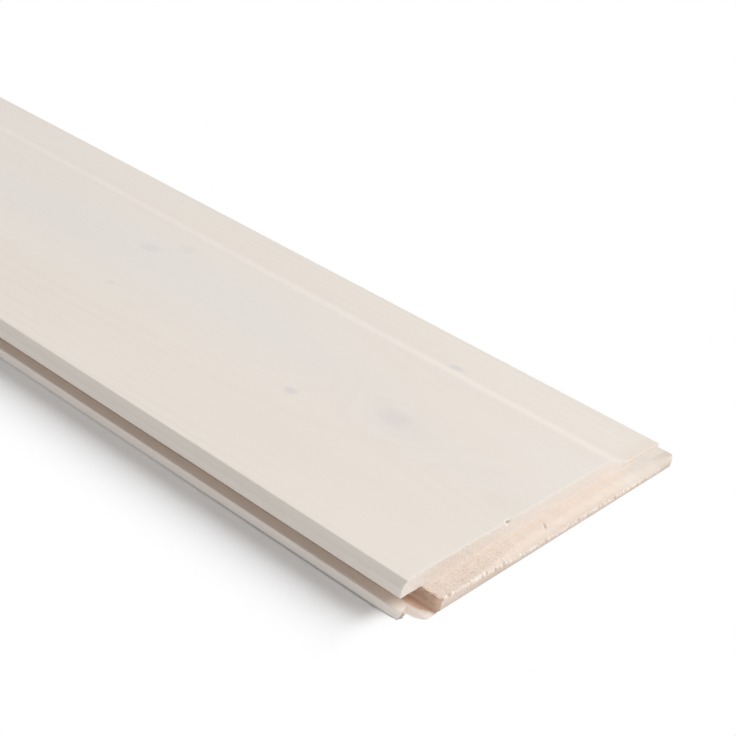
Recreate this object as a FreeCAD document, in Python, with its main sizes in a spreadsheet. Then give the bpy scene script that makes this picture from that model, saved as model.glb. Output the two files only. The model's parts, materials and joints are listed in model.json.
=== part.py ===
"""Tongue and groove panel board with a wide recessed joint, end-matched, milled from one length of softwood.

The board lies face up. X runs along its length, with the tongued end at +X and the grooved end at -X.
Y runs across it, with the groove side at -Y and the tongue side at +Y. Z = 0 is the back.
"""
import FreeCAD, Part
import Sketcher
import os

TOLERANCE = 1e-4

# Driving dimensions in millimetres. Depths are measured down from the face.
SIZES = {
    "board_length": 2070.0,
    "board_width": 120.0,
    "board_thickness": 12.0,
    # Groove side: the nose is the front of the upper lip, which covers the neighbour's tongue.
    "nose_bevel_width": 1.5,
    "nose_bevel_depth": 1.7,
    "upper_lip": 4.4,
    "groove_height": 4.2,
    "groove_depth": 8.4,
    "groove_corner_radius": 0.6,
    "lower_lip_setback": 1.6,
    "lower_lip_lead_width": 3.0,
    "lower_lip_lead_drop": 0.6,
    # Tongue side: a sloped step leads down to a flat shelf, whose outer part is the tongue.
    "tongue_fit": 0.2,
    "tongue_end_gap": 0.6,
    "tongue_tip_radius": 0.8,
    "shelf_width": 18.3,
    "step_width": 12.0,
    "step_edge_radius": 3.0,
    "step_foot_radius": 18.0,
    # Tongued end: the lower shoulder stands back, so that the face of the end joint closes first.
    "end_tongue_length": 6.0,
    "end_tongue_depth": 4.9,
    "end_tongue_height": 4.1,
    "end_tongue_bevel": 1.0,
    "end_tongue_arris": 0.8,
    "end_shoulder_setback": 1.6,
    "end_tongue_trim": 2.1,
    "end_tongue_corner_radius": 1.5,
    "shelf_corner_radius": 1.5,
    "lip_corner_inset": 1.4,
    "lip_corner_gap": 0.2,
    # Grooved end.
    "end_groove_fit": 0.1,
    "end_groove_gap": 0.5,
}


def make_sheet(doc):
    """Put every driving dimension in a cell of its own, under its name."""
    sheet = doc.addObject("Spreadsheet::Sheet", "sizes")
    for row, (name, value) in enumerate(SIZES.items(), start=1):
        sheet.set(f"A{row}", name)
        sheet.set(f"B{row}", str(value))
        sheet.setAlias(f"B{row}", name)
    doc.recompute()
    return sheet


def sketch_on(body, role, name):
    """An empty sketch on one of the body's own three planes."""
    sketch = body.newObject("Sketcher::SketchObject", name)
    plane = next(plane for plane in body.Origin.OriginFeatures if plane.Role == role)
    sketch.AttachmentSupport = (plane, [""])
    sketch.MapMode = "FlatFace"
    return sketch


def draw_outline(sketch, corners):
    """Close a chain of lines round the named corners and return where the sketch keeps each corner.

    A line that is level or upright is held so. Its other sizes are held by measure().
    """
    names = list(corners)
    places = {}
    for name, following in zip(names, names[1:] + names[:1]):
        start = FreeCAD.Vector(*corners[name], 0)
        end = FreeCAD.Vector(*corners[following], 0)
        line = sketch.addGeometry(Part.LineSegment(start, end), False)
        places[name] = (line, 1)
        if abs(start.y - end.y) < TOLERANCE:
            sketch.addConstraint(Sketcher.Constraint("Horizontal", line))
        elif abs(start.x - end.x) < TOLERANCE:
            sketch.addConstraint(Sketcher.Constraint("Vertical", line))
    lines = [places[name][0] for name in names]
    for line, following in zip(lines, lines[1:] + lines[:1]):
        sketch.addConstraint(Sketcher.Constraint("Coincident", line, 2, following, 1))
    return places


def measure(sketch, direction, start, end, name, expression):
    """Hold the way from start to end, along the sketch's X or Y, to an expression on the sheet."""
    value = float(sketch.evalExpression(expression))
    index = sketch.addConstraint(Sketcher.Constraint("Distance" + direction, *start, *end, value))
    sketch.renameConstraint(index, name)
    sketch.setExpression("Constraints." + name, expression)


def check(doc):
    """Recompute and stop if any object of the document failed."""
    doc.recompute()
    for obj in doc.Objects:
        if "Invalid" in obj.State or "Error" in obj.State:
            raise RuntimeError(f"{obj.Name} failed: {obj.State}")


def draw_section(body, s):
    """The board's cross-section, drawn in the plane across its length."""
    sketch = sketch_on(body, "YZ_Plane", "section")
    sketch.setExpression("AttachmentOffset.Base.z", "-sizes.board_length / 2")
    nose = -s.board_width / 2
    tip = s.board_width / 2
    groove_top = s.board_thickness - s.upper_lip
    groove_bottom = groove_top - s.groove_height
    groove_rear = nose + s.groove_depth
    lower_lip = nose + s.lower_lip_setback
    tongue_root = tip - (s.groove_depth - s.lower_lip_setback - s.tongue_end_gap)
    tongue_top = groove_top - s.tongue_fit
    tongue_bottom = groove_bottom + s.tongue_fit
    step_foot = tip - s.shelf_width
    corner = draw_outline(sketch, {
        "face_edge": (nose + s.nose_bevel_width, s.board_thickness),
        "nose_top": (nose, s.board_thickness - s.nose_bevel_depth),
        "nose_bottom": (nose, groove_top),
        "groove_rear_top": (groove_rear, groove_top),
        "groove_rear_bottom": (groove_rear, groove_bottom),
        "lead_top": (lower_lip + s.lower_lip_lead_width, groove_bottom),
        "lip_top": (lower_lip, groove_bottom - s.lower_lip_lead_drop),
        "lip_bottom": (lower_lip, 0),
        "shoulder_bottom": (tongue_root, 0),
        "shoulder_top": (tongue_root, tongue_bottom),
        "tip_bottom": (tip, tongue_bottom),
        "tip_top": (tip, tongue_top),
        "step_foot": (step_foot, tongue_top),
        "step_top": (step_foot - s.step_width, s.board_thickness),
    })
    origin = (-1, 1)
    sketch.addConstraint(Sketcher.Constraint("PointOnObject", *corner["lip_bottom"], -1))
    measure(sketch, "X", origin, corner["tip_top"], "half_width", "sizes.board_width / 2")
    measure(sketch, "X", corner["nose_top"], corner["tip_top"], "width", "sizes.board_width")
    measure(sketch, "Y", corner["lip_bottom"], corner["face_edge"], "thickness", "sizes.board_thickness")
    measure(sketch, "X", corner["nose_top"], corner["face_edge"], "bevel_width", "sizes.nose_bevel_width")
    measure(sketch, "Y", corner["nose_top"], corner["face_edge"], "bevel_depth", "sizes.nose_bevel_depth")
    measure(sketch, "Y", corner["nose_bottom"], corner["face_edge"], "upper_lip", "sizes.upper_lip")
    measure(sketch, "X", corner["nose_bottom"], corner["groove_rear_top"], "groove_depth", "sizes.groove_depth")
    measure(sketch, "Y", corner["groove_rear_bottom"], corner["groove_rear_top"],
            "groove_height", "sizes.groove_height")
    measure(sketch, "X", corner["nose_bottom"], corner["lip_bottom"], "lip_setback", "sizes.lower_lip_setback")
    measure(sketch, "X", corner["lip_top"], corner["lead_top"], "lead_width", "sizes.lower_lip_lead_width")
    measure(sketch, "Y", corner["lip_top"], corner["lead_top"], "lead_drop", "sizes.lower_lip_lead_drop")
    measure(sketch, "X", corner["shoulder_top"], corner["tip_bottom"], "tongue_reach",
            "sizes.groove_depth - sizes.lower_lip_setback - sizes.tongue_end_gap")
    measure(sketch, "Y", corner["groove_rear_bottom"], corner["tip_bottom"], "fit_below", "sizes.tongue_fit")
    measure(sketch, "Y", corner["tip_top"], corner["groove_rear_top"], "fit_above", "sizes.tongue_fit")
    measure(sketch, "X", corner["step_foot"], corner["tip_top"], "shelf_width", "sizes.shelf_width")
    measure(sketch, "X", corner["step_top"], corner["step_foot"], "step_width", "sizes.step_width")
    return sketch


def long_edges(shape, places):
    """Names of the edges that run the board's length at the given places (y, z)."""
    names = []
    for index, edge in enumerate(shape.Edges, start=1):
        ends = [vertex.Point for vertex in edge.Vertexes]
        for y, z in places:
            if all(abs(end.y - y) < TOLERANCE and abs(end.z - z) < TOLERANCE for end in ends):
                names.append(f"Edge{index}")
    if len(names) != len(places):
        raise RuntimeError(f"found {len(names)} of {len(places)} long edges")
    return names


def round_edges(body, base, edges, name, radius):
    """Round the named edges of a feature to a radius of the sheet."""
    fillet = body.newObject("PartDesign::Fillet", name)
    fillet.Base = (base, edges)
    fillet.setExpression("Radius", radius)
    check(body.Document)
    return fillet


def round_section(body, base, s):
    """Round the step, the groove's inner corners and the tongue's tip along the whole length."""
    nose = -s.board_width / 2
    tip = s.board_width / 2
    groove_top = s.board_thickness - s.upper_lip
    groove_bottom = groove_top - s.groove_height
    groove_rear = nose + s.groove_depth
    tongue_top = groove_top - s.tongue_fit
    tongue_bottom = groove_bottom + s.tongue_fit
    step_foot = tip - s.shelf_width
    rounds = (
        ("step_edge", [(step_foot - s.step_width, s.board_thickness)], "sizes.step_edge_radius"),
        ("step_foot", [(step_foot, tongue_top)], "sizes.step_foot_radius"),
        ("groove_corners", [(groove_rear, groove_top), (groove_rear, groove_bottom)],
         "sizes.groove_corner_radius"),
        ("tongue_tip", [(tip, tongue_top), (tip, tongue_bottom)], "sizes.tongue_tip_radius"),
    )
    for name, places, radius in rounds:
        base = round_edges(body, base, long_edges(base.Shape, places), name, radius)
    return base


def cut_through(body, sketch, name):
    """Cut a sketch's outlines right through the board, both ways, and check that wood came away."""
    before = body.Shape.Volume
    pocket = body.newObject("PartDesign::Pocket", name)
    pocket.Profile = sketch
    pocket.Type = "ThroughAll"
    pocket.SideType = "Symmetric"
    check(body.Document)
    if pocket.Shape.Volume > before - TOLERANCE:
        raise RuntimeError(f"{name} cut nothing")
    return pocket


def cut_end_tongue(body, s):
    """Mill the +X end above and below its tongue, whose two front edges are eased."""
    sketch = sketch_on(body, "XZ_Plane", "end_tongue_outline")
    end = s.board_length / 2
    upper_shoulder = end - s.end_tongue_length
    lower_shoulder = upper_shoulder - s.end_shoulder_setback
    tongue_top = s.board_thickness - s.end_tongue_depth
    tongue_bottom = tongue_top - s.end_tongue_height
    above = draw_outline(sketch, {
        "inner_bottom": (upper_shoulder, tongue_top),
        "arris_top": (end - s.end_tongue_arris, tongue_top),
        "arris_front": (end, tongue_top - s.end_tongue_arris),
        "outer_top": (end, s.board_thickness),
        "inner_top": (upper_shoulder, s.board_thickness),
    })
    below = draw_outline(sketch, {
        "inner_bottom": (lower_shoulder, 0),
        "outer_bottom": (end, 0),
        "bevel_front": (end, tongue_bottom + s.end_tongue_bevel),
        "bevel_under": (end - s.end_tongue_bevel, tongue_bottom),
        "inner_top": (lower_shoulder, tongue_bottom),
    })
    origin = (-1, 1)
    sketch.addConstraint(Sketcher.Constraint("PointOnObject", *below["inner_bottom"], -1))
    measure(sketch, "X", origin, above["arris_front"], "end_above", "sizes.board_length / 2")
    measure(sketch, "X", origin, below["outer_bottom"], "end_below", "sizes.board_length / 2")
    measure(sketch, "X", above["inner_bottom"], above["arris_front"], "tongue_length",
            "sizes.end_tongue_length")
    measure(sketch, "X", below["inner_bottom"], above["inner_bottom"], "shoulder_setback",
            "sizes.end_shoulder_setback")
    measure(sketch, "Y", origin, above["outer_top"], "face_level", "sizes.board_thickness")
    measure(sketch, "Y", above["inner_bottom"], above["outer_top"], "tongue_depth", "sizes.end_tongue_depth")
    measure(sketch, "X", above["arris_top"], above["arris_front"], "arris_length", "sizes.end_tongue_arris")
    measure(sketch, "Y", above["arris_front"], above["arris_top"], "arris_drop", "sizes.end_tongue_arris")
    measure(sketch, "Y", below["inner_top"], above["inner_bottom"], "tongue_height", "sizes.end_tongue_height")
    measure(sketch, "X", below["bevel_under"], below["bevel_front"], "bevel_length", "sizes.end_tongue_bevel")
    measure(sketch, "Y", below["bevel_under"], below["bevel_front"], "bevel_rise", "sizes.end_tongue_bevel")
    return cut_through(body, sketch, "end_tongue")


def trim_end_tongue(body, s):
    """Cut the end tongue's tongue-side end back from the side tongue's tip and round its corner."""
    sketch = sketch_on(body, "XY_Plane", "end_tongue_trim_outline")
    end = s.board_length / 2
    tip = s.board_width / 2
    shoulder = end - s.end_tongue_length
    trimmed = tip - s.end_tongue_trim
    corner = draw_outline(sketch, {
        "inner_low": (shoulder, trimmed),
        "outer_low": (end, trimmed),
        "outer_high": (end, tip),
        "inner_high": (shoulder, tip),
    })
    origin = (-1, 1)
    measure(sketch, "X", origin, corner["outer_low"], "end", "sizes.board_length / 2")
    measure(sketch, "Y", origin, corner["outer_high"], "tip", "sizes.board_width / 2")
    measure(sketch, "X", corner["inner_low"], corner["outer_low"], "tongue_length", "sizes.end_tongue_length")
    measure(sketch, "Y", corner["outer_low"], corner["outer_high"], "trim", "sizes.end_tongue_trim")
    pocket = cut_through(body, sketch, "end_tongue_trim")
    upright = [
        f"Edge{index}"
        for index, edge in enumerate(pocket.Shape.Edges, start=1)
        if all(abs(v.X - end) < TOLERANCE and abs(v.Y - trimmed) < TOLERANCE for v in edge.Vertexes)
    ]
    return round_edges(body, pocket, upright, "end_tongue_corner", "sizes.end_tongue_corner_radius")


def draw_corner_cut(sketch, name, corner, side, radius, inset=None):
    """Outline what rounding one plan corner of the +X end takes away: two lines and the arc between them.

    The corner (x, y) is given as two expressions. Side is 1 for a +Y corner and -1 for a -Y corner. An
    inset moves the arc in across the board, and a third line then joins it to the corner's side.
    """
    x, y = (float(sketch.evalExpression(expression)) for expression in corner)
    size = float(sketch.evalExpression(radius))
    shift = float(sketch.evalExpression(inset)) if inset else 0.0
    point = FreeCAD.Vector(x, y, 0)
    outer = FreeCAD.Vector(x - size, y, 0)
    along = FreeCAD.Vector(x - size, y - side * shift, 0)
    across = FreeCAD.Vector(x, y - side * (shift + size), 0)
    outward = FreeCAD.Vector(1, side, 0).normalize()
    middle = FreeCAD.Vector(along.x, across.y, 0) + outward * size
    level = sketch.addGeometry(Part.LineSegment(outer, point), False)
    upright = sketch.addGeometry(Part.LineSegment(point, across), False)
    arc = sketch.addGeometry(Part.Arc(along, middle, across), False)
    arc_along = 1 if sketch.getPoint(arc, 1).isEqual(along, TOLERANCE) else 2
    sketch.addConstraint(Sketcher.Constraint("Horizontal", level))
    sketch.addConstraint(Sketcher.Constraint("Vertical", upright))
    sketch.addConstraint(Sketcher.Constraint("Coincident", level, 2, upright, 1))
    sketch.addConstraint(Sketcher.Constraint("Tangent", upright, 2, arc, 3 - arc_along))
    if inset:
        riser = sketch.addGeometry(Part.LineSegment(along, outer), False)
        sketch.addConstraint(Sketcher.Constraint("Vertical", riser))
        sketch.addConstraint(Sketcher.Constraint("Coincident", riser, 2, level, 1))
        sketch.addConstraint(Sketcher.Constraint("Perpendicular", riser, 1, arc, arc_along))
        ends = ((riser, 1), (riser, 2)) if side > 0 else ((riser, 2), (riser, 1))
        measure(sketch, "Y", *ends, name + "_inset", inset)
    else:
        sketch.addConstraint(Sketcher.Constraint("Tangent", level, 1, arc, arc_along))
    index = sketch.addConstraint(Sketcher.Constraint("Radius", arc, size))
    sketch.renameConstraint(index, name + "_radius")
    sketch.setExpression(f"Constraints.{name}_radius", radius)
    origin = (-1, 1)
    measure(sketch, "X", origin, (level, 2), name + "_x", corner[0])
    if side > 0:
        measure(sketch, "Y", origin, (level, 2), name + "_y", corner[1])
    else:
        measure(sketch, "Y", (level, 2), origin, name + "_y", f"-({corner[1]})")


def round_end_corners(body):
    """Round the shelf's outer end, and the thin end of the lower lip that the end tongue's cut leaves.

    The lip's arc starts a little in from the lip's edge and ends just short of the groove's rear.
    """
    sketch = sketch_on(body, "XY_Plane", "end_corners_outline")
    end = "sizes.board_length / 2"
    draw_corner_cut(sketch, "shelf", (end + " - sizes.end_tongue_length", "sizes.board_width / 2"),
                    1, "sizes.shelf_corner_radius")
    lip_reach = "sizes.groove_depth - sizes.lower_lip_setback - sizes.lip_corner_inset - sizes.lip_corner_gap"
    draw_corner_cut(sketch, "lip", (end, "sizes.lower_lip_setback - sizes.board_width / 2"),
                    -1, lip_reach, "sizes.lip_corner_inset")
    return cut_through(body, sketch, "end_corners")


def cut_end_groove(body, s):
    """Mill the -X end's groove, which takes a neighbour's end tongue with a little room all round."""
    sketch = sketch_on(body, "XZ_Plane", "end_groove_outline")
    end = -s.board_length / 2
    rear = end + s.end_tongue_length + s.end_groove_gap
    top = s.board_thickness - s.end_tongue_depth + s.end_groove_fit
    bottom = top - s.end_tongue_height - 2 * s.end_groove_fit
    corner = draw_outline(sketch, {
        "outer_bottom": (end, bottom),
        "inner_bottom": (rear, bottom),
        "inner_top": (rear, top),
        "outer_top": (end, top),
    })
    origin = (-1, 1)
    measure(sketch, "X", corner["outer_bottom"], origin, "end", "sizes.board_length / 2")
    measure(sketch, "X", corner["outer_bottom"], corner["inner_bottom"], "depth",
            "sizes.end_tongue_length + sizes.end_groove_gap")
    measure(sketch, "Y", origin, corner["inner_top"], "top",
            "sizes.board_thickness - sizes.end_tongue_depth + sizes.end_groove_fit")
    measure(sketch, "Y", corner["inner_bottom"], corner["inner_top"], "height",
            "sizes.end_tongue_height + 2 * sizes.end_groove_fit")
    return cut_through(body, sketch, "end_groove")


def make_board(doc, s):
    """Plane the section along the whole length, then match the two ends."""
    body = doc.addObject("PartDesign::Body", "board")
    body.Label = "board"
    section = draw_section(body, s)
    planed = body.newObject("PartDesign::Pad", "planed_length")
    planed.Profile = section
    planed.setExpression("Length", "sizes.board_length")
    check(doc)
    round_section(body, planed, s)
    cut_end_tongue(body, s)
    trim_end_tongue(body, s)
    round_end_corners(body)
    cut_end_groove(body, s)
    return body


def main():
    doc = FreeCAD.newDocument("tongue_and_groove_board")
    sheet = make_sheet(doc)
    body = make_board(doc, sheet)
    check(doc)
    shape = body.Shape
    if shape.isNull() or not shape.isValid() or len(shape.Solids) != 1:
        raise RuntimeError("the board isn't one valid solid")
    os.makedirs("parts", exist_ok=True)
    shape.exportStep(f"parts/{body.Label}.step")
    box = shape.BoundBox
    print(f"{body.Label}: {box.XLength:.2f} x {box.YLength:.2f} x {box.ZLength:.2f} mm, {shape.Volume:.0f} mm3")
    print(f"corner {box.XMin:.3f} {box.YMin:.3f} {box.ZMin:.3f}")


main()
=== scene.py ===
# %% [markdown]
# # A tongue and groove board
# The object is one length of planed spruce for lining a wall or a ceiling. It has a groove along
# one side, a sloped step and a thin tongue along the other, and the same kind of joint on its ends.
# The packed CAD model is loaded first, because it says how long, wide and thick the board is, and
# everything below is placed from its box.

# %% Load the frame
import json
import math
import random

import bmesh
import bpy
from mathutils import Matrix, Quaternion, Vector, noise

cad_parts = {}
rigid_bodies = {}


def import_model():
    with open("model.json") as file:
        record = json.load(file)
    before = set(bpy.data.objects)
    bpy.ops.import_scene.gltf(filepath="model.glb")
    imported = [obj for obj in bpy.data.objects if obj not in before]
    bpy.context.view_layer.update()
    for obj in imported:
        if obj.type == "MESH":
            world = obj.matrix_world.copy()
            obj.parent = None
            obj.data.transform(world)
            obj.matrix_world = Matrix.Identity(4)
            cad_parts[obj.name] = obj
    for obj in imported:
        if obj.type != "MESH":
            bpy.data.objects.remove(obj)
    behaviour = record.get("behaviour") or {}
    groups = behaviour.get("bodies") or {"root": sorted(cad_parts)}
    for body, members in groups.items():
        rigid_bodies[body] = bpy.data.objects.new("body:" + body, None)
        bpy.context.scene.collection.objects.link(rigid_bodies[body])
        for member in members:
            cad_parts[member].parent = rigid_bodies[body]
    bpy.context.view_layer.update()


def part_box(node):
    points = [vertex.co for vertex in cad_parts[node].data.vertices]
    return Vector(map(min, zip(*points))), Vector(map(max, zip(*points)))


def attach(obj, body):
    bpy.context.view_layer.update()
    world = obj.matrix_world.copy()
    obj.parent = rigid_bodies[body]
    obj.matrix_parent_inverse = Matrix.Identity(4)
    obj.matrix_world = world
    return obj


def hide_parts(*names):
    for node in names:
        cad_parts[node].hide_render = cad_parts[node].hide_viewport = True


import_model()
low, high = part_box("board")
MM = 0.001
print("board", [round((high[i] - low[i]) / MM, 2) for i in range(3)], "mm")

# %% [markdown]
# ## The section
# A moulder planes the whole section in one pass, so every long edge of the board is the same all
# the way along. That makes the section the natural thing to draw: a list of its corners, each with
# the radius the cutter leaves there. A bevel modifier would round all edges alike; a list can give
# the step its wide curves and the arrises only a soft touch.

# %% Corners of the section
nose = low[1]
tip = high[1]
back = low[2]
face = high[2]

UPPER_LIP = 4.4 * MM
GROOVE_HEIGHT = 4.2 * MM
GROOVE_DEPTH = 8.4 * MM
LIP_SETBACK = 1.6 * MM
TONGUE_FIT = 0.2 * MM
TONGUE_GAP = 0.6 * MM
SHELF_WIDTH = 18.3 * MM
STEP_WIDTH = 12.0 * MM
NOSE_BEVEL = (1.5 * MM, 1.7 * MM)
LIP_LEAD = (3.0 * MM, 0.6 * MM)
ARRIS = 0.5 * MM
NOSE_ROUND = 1.5 * MM
GROOVE_CORNER = 0.6 * MM
TIP_ROUND = 0.8 * MM
STEP_FOOT_CURVE = 18.0 * MM
STEP_EDGE_CURVE = 14.0 * MM

groove_top = face - UPPER_LIP
groove_floor = groove_top - GROOVE_HEIGHT
groove_rear = nose + GROOVE_DEPTH
lip = nose + LIP_SETBACK
shelf = groove_top - TONGUE_FIT
tongue_under = groove_floor + TONGUE_FIT
tongue_root = tip - (GROOVE_DEPTH - LIP_SETBACK - TONGUE_GAP)
step_foot = tip - SHELF_WIDTH
step_top = step_foot - STEP_WIDTH

section_corners = [
    (nose + NOSE_BEVEL[0], face, ARRIS),
    (nose, face - NOSE_BEVEL[1], NOSE_ROUND),
    (nose, groove_top, 0.5 * ARRIS),
    (groove_rear, groove_top, GROOVE_CORNER),
    (groove_rear, groove_floor, GROOVE_CORNER),
    (lip + LIP_LEAD[0], groove_floor, 2.0 * ARRIS),
    (lip, groove_floor - LIP_LEAD[1], 0.8 * ARRIS),
    (lip, back, ARRIS),
    (tongue_root, back, 0.8 * ARRIS),
    (tongue_root, tongue_under, 0.6 * ARRIS),
    (tip, tongue_under, TIP_ROUND),
    (tip, shelf, TIP_ROUND),
    (step_foot, shelf, STEP_FOOT_CURVE),
    (step_top, face, STEP_EDGE_CURVE),
]
print("corners", len(section_corners), "groove from", round(groove_floor / MM, 2),
      "to", round(groove_top / MM, 2))

# %% [markdown]
# ## Rounding a list of corners
# Each corner becomes an arc that touches both of its sides. One more point is set on the flat just
# before and after each arc. Smooth shading bends the light between neighbouring points, and these
# two keep that bend on the curve, so the wide flat face stays evenly lit.

# %% Rounded outline
ARC_STEPS = 8
FLAT_KEEP = 0.25 * MM


def arc(centre, spoke, turn):
    """Points round a centre: the spoke's end, swept through an angle."""
    return [centre + Matrix.Rotation(turn * step / ARC_STEPS, 2) @ spoke for step in range(ARC_STEPS + 1)]


def rounded(corners):
    """The outline's points, with an arc in place of each corner."""
    points = []
    for i, (u, v, radius) in enumerate(corners):
        here = Vector((u, v))
        to_last = (Vector(corners[i - 1][:2]) - here).normalized()
        to_next = (Vector(corners[(i + 1) % len(corners)][:2]) - here).normalized()
        half = to_last.angle(to_next) / 2
        reach = radius / math.tan(half)
        centre = here + (to_last + to_next).normalized() * (radius / math.sin(half))
        start = here + to_last * reach
        stop = here + to_next * reach
        turn = -(start - centre).angle_signed(stop - centre)
        points.append(start + to_last * FLAT_KEEP)
        points.extend(arc(centre, start - centre, turn))
        points.append(stop + to_next * FLAT_KEEP)
    return points


section = rounded(section_corners)
print("section points", len(section))

# %% [markdown]
# ## Planing the length
# The section is drawn out along the board as a closed prism. The same helper makes the cutters for
# the ends, which are prisms too, so it can point along any of the three axes. The stock starts a
# little longer than the board at the tongued end, and the cutters bring it to length.

# %% A prism from an outline
SPARE = 3.0 * MM
AXES = {"X": (1, 2, 0), "Y": (0, 2, 1), "Z": (0, 1, 2)}


def new_piece(name, shape):
    """An object in the scene, made from a finished bmesh."""
    mesh = bpy.data.meshes.new(name)
    shape.to_mesh(mesh)
    shape.free()
    piece = bpy.data.objects.new(name, mesh)
    bpy.context.collection.objects.link(piece)
    return piece


def prism(name, outline, axis, start, end):
    """A closed piece: the outline, drawn out along an axis from start to end."""
    first, second, along = AXES[axis]
    shape = bmesh.new()
    rings = []
    for level in (start, end):
        ring = []
        for u, v in outline:
            place = [0.0, 0.0, 0.0]
            place[first] = u
            place[second] = v
            place[along] = level
            ring.append(shape.verts.new(place))
        rings.append(ring)
        shape.faces.new(ring)
    for i in range(len(outline)):
        last = i - 1
        shape.faces.new((rings[0][last], rings[0][i], rings[1][i], rings[1][last]))
    bmesh.ops.recalc_face_normals(shape, faces=shape.faces)
    return new_piece(name, shape)


planed_board = prism("planed_board", section, "X", low[0], high[0] + SPARE)
print("stock", len(planed_board.data.polygons), "faces")

# %% [markdown]
# ## Matching the ends
# On a real board a second machine mills the ends: a tongue across this one, and a groove across the
# far one, so that boards can be joined in a row. The cuts run right across the board, so each
# is one prism taken away with a Boolean. The tongue's plan is cut too: its corners are rounded
# where the cutter lifts away, and a thin curl of the lower lip stays under the side groove.

# %% Sizes of the end joint
END_TONGUE = 6.0 * MM
END_TONGUE_DROP = 4.9 * MM
END_TONGUE_HEIGHT = 4.1 * MM
END_TONGUE_BEVEL = 1.0 * MM
LOWER_SETBACK = 1.6 * MM
TONGUE_TRIM = 2.1 * MM
PLAN_CORNER = 1.5 * MM
LIP_INSET = 1.4 * MM
LIP_CURL = 5.2 * MM
END_GROOVE_FIT = 0.1 * MM
END_GROOVE_GAP = 0.5 * MM

end = high[0]
far_end = low[0]
shoulder = end - END_TONGUE
lower_shoulder = shoulder - LOWER_SETBACK
end_top = face - END_TONGUE_DROP
end_under = end_top - END_TONGUE_HEIGHT
out = 2 * SPARE
print("end tongue from", round(end_under / MM, 2), "to", round(end_top / MM, 2), "mm above the back")

# %% Cutters above and below the end tongue, and in the far end
above_tongue = [
    (shoulder, end_top),
    (end + out, end_top),
    (end + out, face + out),
    (shoulder, face + out),
]
below_tongue = [
    (lower_shoulder, back - out),
    (end + out, back - out),
    (end + out, end_under + END_TONGUE_BEVEL + out),
    (end - END_TONGUE_BEVEL, end_under),
    (lower_shoulder, end_under),
]
groove_in = far_end + END_TONGUE + END_GROOVE_GAP
in_far_end = [
    (far_end - out, end_under - END_GROOVE_FIT),
    (groove_in, end_under - END_GROOVE_FIT),
    (groove_in, end_top + END_GROOVE_FIT),
    (far_end - out, end_top + END_GROOVE_FIT),
]
print("far end groove", round((groove_in - far_end) / MM, 2), "mm deep")

# %% Cutter around the end tongue's plan
QUARTER = math.radians(90)
tongue_side = tip - TONGUE_TRIM


def corner_arc(x, y, radius, spoke_x, spoke_y):
    """A quarter of a circle about (x, y), swept clockwise in plan from the given spoke."""
    return arc(Vector((x, y)), Vector((spoke_x, spoke_y)) * radius, -QUARTER)


around_tongue = [
    Vector((shoulder - PLAN_CORNER, tip + out)),
    *corner_arc(shoulder - PLAN_CORNER, tip - PLAN_CORNER, PLAN_CORNER, 0, 1),
    Vector((shoulder, tongue_side)),
    *corner_arc(end - PLAN_CORNER, tongue_side - PLAN_CORNER, PLAN_CORNER, 0, 1),
    *corner_arc(end - LIP_CURL, lip + LIP_INSET + LIP_CURL, LIP_CURL, 1, 0),
    Vector((end - LIP_CURL, nose - out)),
    Vector((end + out, nose - out)),
    Vector((end + out, tip + out)),
]
print("plan cutter", len(around_tongue), "points")

# %% Cut the ends


def take_away(piece, cutter):
    """Cuts the cutter out of the piece's own mesh, and removes the cutter."""
    cut = piece.modifiers.new("cut", "BOOLEAN")
    cut.operation = "DIFFERENCE"
    cut.solver = "EXACT"
    cut.object = cutter
    made = piece.evaluated_get(bpy.context.evaluated_depsgraph_get())
    mesh = bpy.data.meshes.new_from_object(made)
    piece.modifiers.remove(cut)
    old = piece.data
    piece.data = mesh
    mesh.name = piece.name
    bpy.data.meshes.remove(old)
    spent = cutter.data
    bpy.data.objects.remove(cutter)
    bpy.data.meshes.remove(spent)


for outline, axis, start, stop in [
    (above_tongue, "Y", nose - out, tip + out),
    (below_tongue, "Y", nose - out, tip + out),
    (around_tongue, "Z", back - out, face + out),
    (in_far_end, "Y", nose - out, tip + out),
]:
    take_away(planed_board, prism("end_cutter", outline, axis, start, stop))
print("after the cuts", len(planed_board.data.polygons), "faces")

# %% [markdown]
# ## Which faces are painted
# The board is painted after it is planed and before its ends are milled. So the face, the step, the
# shelf and the edges of both lips are white, the ends are bare end grain, and the grooves, the
# tongues and the back are bare long grain. Where a face lies and the way it looks are enough to tell
# which is which. This is done before any roughness is added, while that is still exact.

# %% Sort the faces by finish
PAINT, LONG_GRAIN, END_GRAIN = range(3)
FACING_ALONG = 0.6
FACING_UP = 0.3
FACING_NOSE = -0.35
PAINT_BELOW_SHELF = 1.0 * MM
PAINT_PAST_LIP = 0.5 * MM
SAME_POINT = 0.002 * MM


def finish_at(centre, normal):
    """Which finish the plain board has on a face there."""
    if abs(normal.x) > FACING_ALONG:
        return END_GRAIN
    if centre.x > lower_shoulder and centre.z < groove_top:
        return LONG_GRAIN
    if normal.z > FACING_UP and centre.z > shelf - PAINT_BELOW_SHELF:
        return PAINT
    if normal.y < FACING_NOSE and centre.y < lip + PAINT_PAST_LIP:
        return PAINT
    return LONG_GRAIN


shape = bmesh.new()
shape.from_mesh(planed_board.data)
bmesh.ops.remove_doubles(shape, verts=shape.verts, dist=SAME_POINT)
bmesh.ops.dissolve_degenerate(shape, edges=shape.edges, dist=SAME_POINT)
for surface in shape.faces:
    surface.material_index = finish_at(surface.calc_center_bounds(), surface.normal)
counts = [sum(f.material_index == finish for f in shape.faces) for finish in range(3)]
open_edges = sum(not e.is_manifold for e in shape.edges)
print("painted, long grain, end grain faces:", counts, "open edges:", open_edges)

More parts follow.
